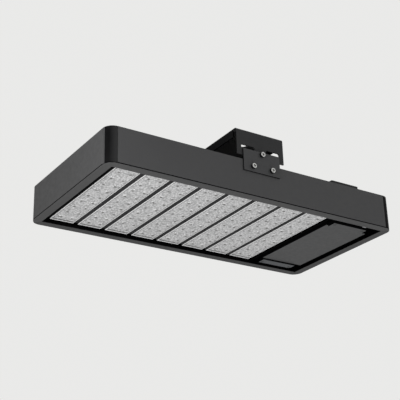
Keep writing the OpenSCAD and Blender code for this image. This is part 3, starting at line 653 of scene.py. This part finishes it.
def lens_field(bm, low, high, centre):
    """A rectangle of the plate's face at z = 0, with the dome that stands down from it."""
    corners = bmesh.ops.create_grid(bm, x_segments=1, y_segments=1, size=0.5)["verts"]
    bmesh.ops.scale(bm, verts=corners, vec=(high[0] - low[0], high[1] - low[1], 1))
    bmesh.ops.translate(bm, verts=corners,
                        vec=((low[0] + high[0]) / 2, (low[1] + high[1]) / 2, 0))
    panel = corners[0].link_faces[0]
    sides = list(panel.edges)
    bmesh.ops.delete(bm, geom=[panel], context="FACES_ONLY")
    cut = bmesh.ops.subdivide_edges(bm, edges=sides, cuts=lens_steps // 4 - 1)
    outline = [item for item in cut["geom"] if isinstance(item, bmesh.types.BMEdge)]
    turn = Matrix.Translation((*centre, 0)) @ Matrix.Rotation(math.pi / lens_steps, 4, "Z")
    foot = bmesh.ops.create_circle(bm, segments=lens_steps, radius=lens_foot_r, matrix=turn)
    ring = list({edge for vert in foot["verts"] for edge in vert.link_edges})
    bmesh.ops.bridge_loops(bm, edges=outline + ring)
    radius = lens_foot_r
    for number, (reach, height) in enumerate(dome_shares):
        grown = bmesh.ops.extrude_edge_only(bm, edges=ring)["geom"]
        for face in grown:
            if isinstance(face, bmesh.types.BMFace):
                face.material_index = window_finish if number >= stud_from else 0
        verts = [item for item in grown if isinstance(item, bmesh.types.BMVert)]
        ring = [item for item in grown if isinstance(item, bmesh.types.BMEdge)]
        shrink = reach * lens_foot_r / radius
        about = Matrix.Translation((-centre[0], -centre[1], 0))
        bmesh.ops.scale(bm, verts=verts, vec=(shrink, shrink, 1), space=about)
        bmesh.ops.translate(bm, verts=verts, vec=(0, 0, -height * lens_high - verts[0].co.z))
        radius = reach * lens_foot_r
    for face in bmesh.ops.edgeloop_fill(bm, edges=ring)["faces"]:
        face.material_index = window_finish


def lens_plate_shape(half, thick):
    """One plate about its own middle, its face at z = 0 and its back at z = thick."""
    bm = bmesh.new()
    groove_out = [side - edge for side, edge in zip(half, seal_edge)]
    inner = [side - width for side, width in zip(groove_out, seal_width)]
    pitch = 2 * (half[1] - lens_end) / (lens_rows - 1)
    for row in range(lens_rows):
        middle = row * pitch - (half[1] - lens_end)
        low_y = -inner[1] if row == 0 else middle - pitch / 2
        high_y = inner[1] if row == lens_rows - 1 else middle + pitch / 2
        for side in (-1, 1):
            low_x, high_x = sorted((0, side * inner[0]))
            lens_field(bm, (low_x, low_y), (high_x, high_y), (side * lens_pitch_x / 2, middle))
    bmesh.ops.remove_doubles(bm, verts=bm.verts, dist=merge_gap)
    edges = [edge for edge in bm.edges if edge.is_boundary]
    reach = list(inner)
    steps = ((inner, seal_depth), (groove_out, seal_depth), (groove_out, 0),
             ([side - lip_round for side in half], 0), (half, lip_round), (half, thick))
    for number, (target, z) in enumerate(steps):
        scale = (target[0] / reach[0], target[1] / reach[1])
        edges, faces = pull_out(bm, edges, scale, z)
        reach = list(target)
        for face in faces:
            # Painted shade on groove and sides, painted highlight on the paler lip.
            dark = number in groove_steps or number == side_step
            face.material_index = groove_shade_finish if dark else lip_highlight_finish
    for face in bmesh.ops.edgeloop_fill(bm, edges=edges)["faces"]:
        face.material_index = 0
    return bm


plate_low, plate_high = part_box("lens_plate_1")
plate_half = ((plate_high.x - plate_low.x) / 2, (plate_high.y - plate_low.y) / 2)
plate_thick = plate_high.z - plate_low.z - lens_high
plate_shape = lens_plate_shape(plate_half, plate_thick)
print("one lens plate has", len(plate_shape.faces), "faces")
for number in modules:
    low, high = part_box(f"lens_plate_{number}")
    bm = plate_shape.copy()
    spot = ((low.x + high.x) / 2, (low.y + high.y) / 2, low.z + lens_high)
    bmesh.ops.translate(bm, verts=bm.verts, vec=spot)
    finish_piece(f"moulded_lens_plate_{number}", bm,
                 [lens_plastic, chip_window, lens_groove_shade, lens_lip_highlight], [f"lens_plate_{number}"])
plate_shape.free()

# %% [markdown]
# The LED boards sit behind the plates: white solder mask with one chip under each lens. The
# chips are the board's lower bits, so their faces are found by height and given the yellowish
# tone of phosphor.

# %% LED boards
chip_thick = 0.7 * mm
board_round = 0.15 * mm
phosphor = moulded("phosphor", (0.75, 0.6, 0.16), 0.4)
for number in modules:
    node = f"led_board_{number}"
    bm = copy_of(node)
    chips_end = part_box(node)[0].z + chip_thick
    soften(bm, board_round, segments=1)
    for face in bm.faces:
        face.material_index = 1 if face.calc_center_median().z < chips_end else 0
    finish_piece(f"soft_{node}", bm, [board_white, phosphor], [node])

# %% [markdown]
# Socket head screws hold everything. The head is turned, so its outline is spun round the axis:
# side, a small chamfer and a flat top. The socket is a hexagon. Its corners come from a circle
# with six steps, cut finer so that it can be bridged to the round top, and then it is extruded
# down. Places and directions are read from the construction, one separate solid at a time. The
# large screws are bright steel on their faces and in their sockets, and their sides are near black
# as painted shade. Those of the cover were coated together with it, so they wear its finish. A
# size lists the radii of shank and head, the head's height, the socket's width and depth, and the
# thread's pitch.

# %% Screws
head_steps = 24
chamfer = 0.5 * mm
socket_share = 0.7
root_share = 0.9
tip_share = 0.75
thread_start = -1.5 * mm
neck_z = -1 * mm
tip_long = 0.2 * mm
socket_rim = 0.25 * mm
ring_play = 0.005 * mm


def islands(node):
    """Lowest and highest corner of each separate solid in a node."""
    bm = bmesh.new()
    bm.from_mesh(nodes[node].data)
    bmesh.ops.remove_doubles(bm, verts=bm.verts, dist=merge_gap)
    left = set(bm.verts)
    boxes = []
    while left:
        group = {left.pop()}
        edge_of_group = set(group)
        while edge_of_group:
            near = {edge.other_vert(vert) for vert in edge_of_group for edge in vert.link_edges}
            edge_of_group = near - group
            group |= near
        left -= group
        spots = [vert.co for vert in group]
        boxes.append((Vector([min(spot[axis] for spot in spots) for axis in range(3)]),
                      Vector([max(spot[axis] for spot in spots) for axis in range(3)])))
    bm.free()
    return sorted(boxes, key=lambda box: tuple(round(value, 5) for value in box[0]))


def spin_outline(bm, outline):
    """Turns an outline of (radius, height) points round the Z axis."""
    verts = [bm.verts.new((radius, 0, height)) for radius, height in outline]
    edges = [bm.edges.new(pair) for pair in zip(verts, verts[1:])]
    bmesh.ops.spin(bm, geom=verts + edges, cent=(0, 0, 0), axis=(0, 0, 1), steps=head_steps,
                   angle=2 * math.pi, use_merge=True, dvec=(0, 0, 0))
    bmesh.ops.remove_doubles(bm, verts=bm.verts, dist=merge_gap)


def ring_at(bm, radius, height):
    """Edges of the open ring at that radius and height."""
    def on_ring(vert):
        return max(abs(vert.co.xy.length - radius), abs(vert.co.z - height)) < ring_play

    return [edge for edge in bm.edges
            if edge.is_boundary and all(on_ring(vert) for vert in edge.verts)]


def hex_loop(bm, across_flats, height):
    corner_reach = across_flats / 2 / math.cos(math.pi / 6)
    corners = bmesh.ops.create_circle(bm, segments=6, radius=corner_reach,
                                      matrix=Matrix.Translation((0, 0, height)))["verts"]
    sides = list({edge for vert in corners for edge in vert.link_edges})
    cut = bmesh.ops.subdivide_edges(bm, edges=sides, cuts=head_steps // 6 - 1)
    return [item for item in cut["geom"] if isinstance(item, bmesh.types.BMEdge)]


def socket(bm, across_flats, depth, rim_r, height):
    """Closes a round opening at rim_r with a hexagonal socket."""
    outer = ring_at(bm, rim_r, height)
    hexagon = hex_loop(bm, across_flats, height - chamfer / 4)
    bmesh.ops.bridge_loops(bm, edges=outer + hexagon)
    grown = bmesh.ops.extrude_edge_only(bm, edges=hexagon)["geom"]
    verts = [item for item in grown if isinstance(item, bmesh.types.BMVert)]
    bmesh.ops.translate(bm, verts=verts, vec=(0, 0, -depth))
    floor_edges = [item for item in grown if isinstance(item, bmesh.types.BMEdge)]
    bmesh.ops.edgeloop_fill(bm, edges=floor_edges)


def thread(radius, top, bottom, pitch):
    """Outline of a thread from top down to bottom, as rings of crests and roots."""
    turns = int((top - bottom) / pitch)
    points = []
    for turn in range(turns):
        z = top - turn * pitch
        points += [(radius, z), (radius * root_share, z - pitch / 2)]
    return points + [(radius * root_share, bottom + tip_long), (radius * tip_share, bottom)]


def screw_shape(shank_r, head_r, head_h, across_flats, depth, length, pitch):
    bm = bmesh.new()
    rim_r = across_flats / 2 / math.cos(math.pi / 6) + socket_rim
    shank = thread(shank_r, thread_start, -length, pitch)
    outline = [(0, -length)] + shank[::-1] + [
        (shank_r, neck_z), (shank_r, 0), (head_r - chamfer / 2, 0), (head_r, chamfer / 2),
        (head_r, head_h - chamfer), (head_r - chamfer * 0.3, head_h - chamfer * 0.3),
        (head_r - chamfer, head_h), (rim_r, head_h)]
    spin_outline(bm, outline)
    socket(bm, across_flats, depth, rim_r, head_h)
    return bm


def screws(node, finishes, size, heads_towards):
    """Puts a screw of that size in each of the node's solids; the last finish is for its face."""
    shank_r, head_r, head_h, across_flats, depth, pitch = size
    whole = bmesh.new()
    for low, high in islands(node):
        towards = heads_towards(low, high)
        axis = max(range(3), key=lambda index: abs(towards[index]))
        length = high[axis] - low[axis] - head_h
        middle = (low + high) / 2
        middle[axis] = (high[axis] if towards[axis] > 0 else low[axis]) - towards[axis] * head_h
        shape = screw_shape(shank_r, head_r, head_h, across_flats, depth, length, pitch)
        # With two finishes the head's side keeps the first, a painted shade, and face and socket
        # get the last.
        for face in shape.faces:
            spot = face.calc_center_median()
            in_socket = spot.z > 0 and spot.xy.length < head_r * socket_share
            if in_socket or spot.z > head_h - chamfer:
                face.material_index = len(finishes) - 1
        turn = Vector(towards).to_track_quat("Z", "Y").to_matrix().to_4x4()
        bmesh.ops.transform(shape, matrix=Matrix.Translation(middle) @ turn, verts=shape.verts)
        holder = bpy.data.meshes.new("screw")
        shape.to_mesh(holder)
        shape.free()
        whole.from_mesh(holder)
        bpy.data.meshes.remove(holder)
    print(node, len(whole.faces), "faces")
    finish_piece(f"turned_{node}", whole, finishes, [node])


m6 = (3 * mm, 5 * mm, 6 * mm, 5 * mm, 3 * mm, 1 * mm)
m4 = (2 * mm, 3.5 * mm, 2.4 * mm, 2.5 * mm, 1.4 * mm, 0.7 * mm)


def outwards(low, high):
    return Vector((0, math.copysign(1, low.y + high.y), 0))


def upwards(low, high):
    return Vector((0, 0, 1))


def downwards(low, high):
    return Vector((0, 0, -1))


screws("pivot_screws", [dark_steel, bright_steel], m6, outwards)
screws("side_plate_screws", [dark_steel, bright_steel], m6, outwards)
for node in ("module_screws", "roof_screws", "lid_screws"):
    screws(node, [bright_steel], m4, upwards)
for node in ("heat_sink_screws", "box_screws"):
    screws(node, [bright_steel], m4, downwards)
screws("cover_screws", [sheet_coat], m4, downwards)

# %% [markdown]
# The washers and nuts of the pivot are stamped and turned, so they keep the construction's shape
# with a rounder edge.

# %% Washers and nuts
softened_part("pivot_washers", bright_steel, width=0.25 * mm)
softened_part("pivot_nuts", bright_steel, width=0.4 * mm)

# %% [markdown]
# The wiring box is a black moulding with a screwed lid. The construction already has its round
# corners, so only the small radius of the tool is added to its edges. The gland's nut has a grip
# of fine ribs. Each narrow face of its round side is inset and sunk with inset_individual, which
# leaves a rib standing between every two.

# %% Wiring box, lid, gland and leads
nut_r = 9 * mm
nut_play = 0.1 * mm
nut_tilt = 0.1
rib_gap = 0.22 * mm
rib_depth = 0.45 * mm


def ribbed_nut():
    """The gland's nut, with a grip of fine ribs sunk into its round side."""
    bm = copy_of("gland_nut")
    low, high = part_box("gland_nut")
    middle = (low + high) / 2
    bm.normal_update()

    def on_grip(face):
        spot = face.calc_center_median()
        away = math.hypot(spot.x - middle.x, spot.z - middle.z)
        return abs(away - nut_r) < nut_play and abs(face.normal.y) < nut_tilt

    grip = [face for face in bm.faces if on_grip(face)]
    bmesh.ops.inset_individual(bm, faces=grip, thickness=rib_gap, depth=-rib_depth)
    print("gland nut ribs:", len(grip))
    finish_piece("ribbed_gland_nut", bm, [black_plastic], ["gland_nut"])


softened_part("wiring_box", black_plastic, width=0.4 * mm)
softened_part("wiring_box_lid", black_plastic, width=0.5 * mm)
softened_part("cable_gland", black_plastic, width=0.3 * mm)
ribbed_nut()
softened_part("module_connectors", black_plastic, width=0.6 * mm)
softened_part("terminal_block", pale_plastic, width=0.5 * mm)
softened_part("surge_protector", blue_plastic, width=1.0 * mm)
softened_part("harness_cable", cable_rubber, width=0.1 * mm, segments=1)
softened_part("supply_lead", cable_rubber, width=0.3 * mm, segments=1)

# %% [markdown]
# The room is plain: a pale floor far below and a pale surround. The floor is so wide that its edge
# is a level horizon, and the camera sees it half lit by itself, so that it stays pale without more
# light on the object. Four lamps give soft light: one to the right and in front for the long
# side, a small one near the left end, one below for the lens plates and one above for the top.

# %% Floor, surround and lamps
floor_z = -3.0
floor_half = 200.0
surround = (0.82, 0.82, 0.81)
fill_strength = 0.62
floor_own_light = 0.55
floor_patch = 0.4


def floor_finish():
    """Pale floor that the camera sees half lit by itself."""
    finish, tree, shader = new_finish("pale_floor", 0.8)
    soft = noise(tree, on_surface(tree), floor_patch)
    base = mix_colour(tree, soft, (0.78, 0.78, 0.77), surround)
    tree.links.new(base, shader.inputs["Base Color"])
    seen = tree.nodes.new("ShaderNodeEmission")
    seen.inputs["Color"].default_value = (*surround, 1)
    rays = tree.nodes.new("ShaderNodeLightPath")
    share = tree.nodes.new("ShaderNodeMath")
    share.operation = "MULTIPLY"
    share.inputs[1].default_value = floor_own_light
    tree.links.new(rays.outputs["Is Camera Ray"], share.inputs[0])
    mix = tree.nodes.new("ShaderNodeMixShader")
    tree.links.new(share.outputs["Value"], mix.inputs["Fac"])
    tree.links.new(shader.outputs["BSDF"], mix.inputs[1])
    tree.links.new(seen.outputs["Emission"], mix.inputs[2])
    tree.links.new(mix.outputs["Shader"], tree.nodes["Material Output"].inputs["Surface"])
    return finish


def make_floor():
    bm = bmesh.new()
    bmesh.ops.create_grid(bm, x_segments=1, y_segments=1, size=floor_half,
                          matrix=Matrix.Translation((0, 0, floor_z)))
    mesh = bpy.data.meshes.new("floor")
    bm.to_mesh(mesh)
    bm.free()
    mesh.materials.append(floor_finish())
    link(bpy.data.objects.new("floor", mesh))


def make_surround():
    """A world that is seen and mirrored as the pale surround and lights as a weaker white."""
    world = bpy.data.worlds.new("surround")
    bpy.context.scene.world = world
    world.use_nodes = True
    tree = world.node_tree
    tree.nodes.clear()
    seen = tree.nodes.new("ShaderNodeBackground")
    seen.inputs["Color"].default_value = (*surround, 1)
    fill = tree.nodes.new("ShaderNodeBackground")
    fill.inputs["Color"].default_value = (1, 1, 1, 1)
    fill.inputs["Strength"].default_value = fill_strength
    rays = tree.nodes.new("ShaderNodeLightPath")
    both = tree.nodes.new("ShaderNodeMath")
    both.operation = "MAXIMUM"
    either = tree.nodes.new("ShaderNodeMath")
    either.operation = "MAXIMUM"
    tree.links.new(rays.outputs["Is Camera Ray"], both.inputs[0])
    tree.links.new(rays.outputs["Is Glossy Ray"], both.inputs[1])
    tree.links.new(both.outputs["Value"], either.inputs[0])
    tree.links.new(rays.outputs["Is Transmission Ray"], either.inputs[1])
    mix = tree.nodes.new("ShaderNodeMixShader")
    tree.links.new(either.outputs["Value"], mix.inputs["Fac"])
    tree.links.new(fill.outputs["Background"], mix.inputs[1])
    tree.links.new(seen.outputs["Background"], mix.inputs[2])
    out = tree.nodes.new("ShaderNodeOutputWorld")
    tree.links.new(mix.outputs["Shader"], out.inputs["Surface"])


light_middle = Vector((0, 0, -0.1))


def lamp(name, spot, size, power, aim=light_middle):
    light = bpy.data.lights.new(name, "AREA")
    light.shape = "DISK"
    light.size = size
    light.energy = power
    thing = link(bpy.data.objects.new(name, light))
    turn = (aim - Vector(spot)).to_track_quat("-Z", "Y").to_matrix().to_4x4()
    thing.matrix_world = Matrix.Translation(spot) @ turn
    thing.visible_camera = False


make_floor()
make_surround()
lamp("right_front", (2.2, -3.3, 0.9), 1.0, 12.5)
lamp("left_side", (-0.68, -0.36, -0.22), 0.3, 2.6, Vector((-0.33, -0.13, -0.12)))
lamp("below", (-0.1, -1.4, -2.1), 1.6, 27.5)
lamp("above", (0.7, 0.9, 2.8), 1.6, 45)
bpy.context.scene.view_settings.view_transform = "Standard"
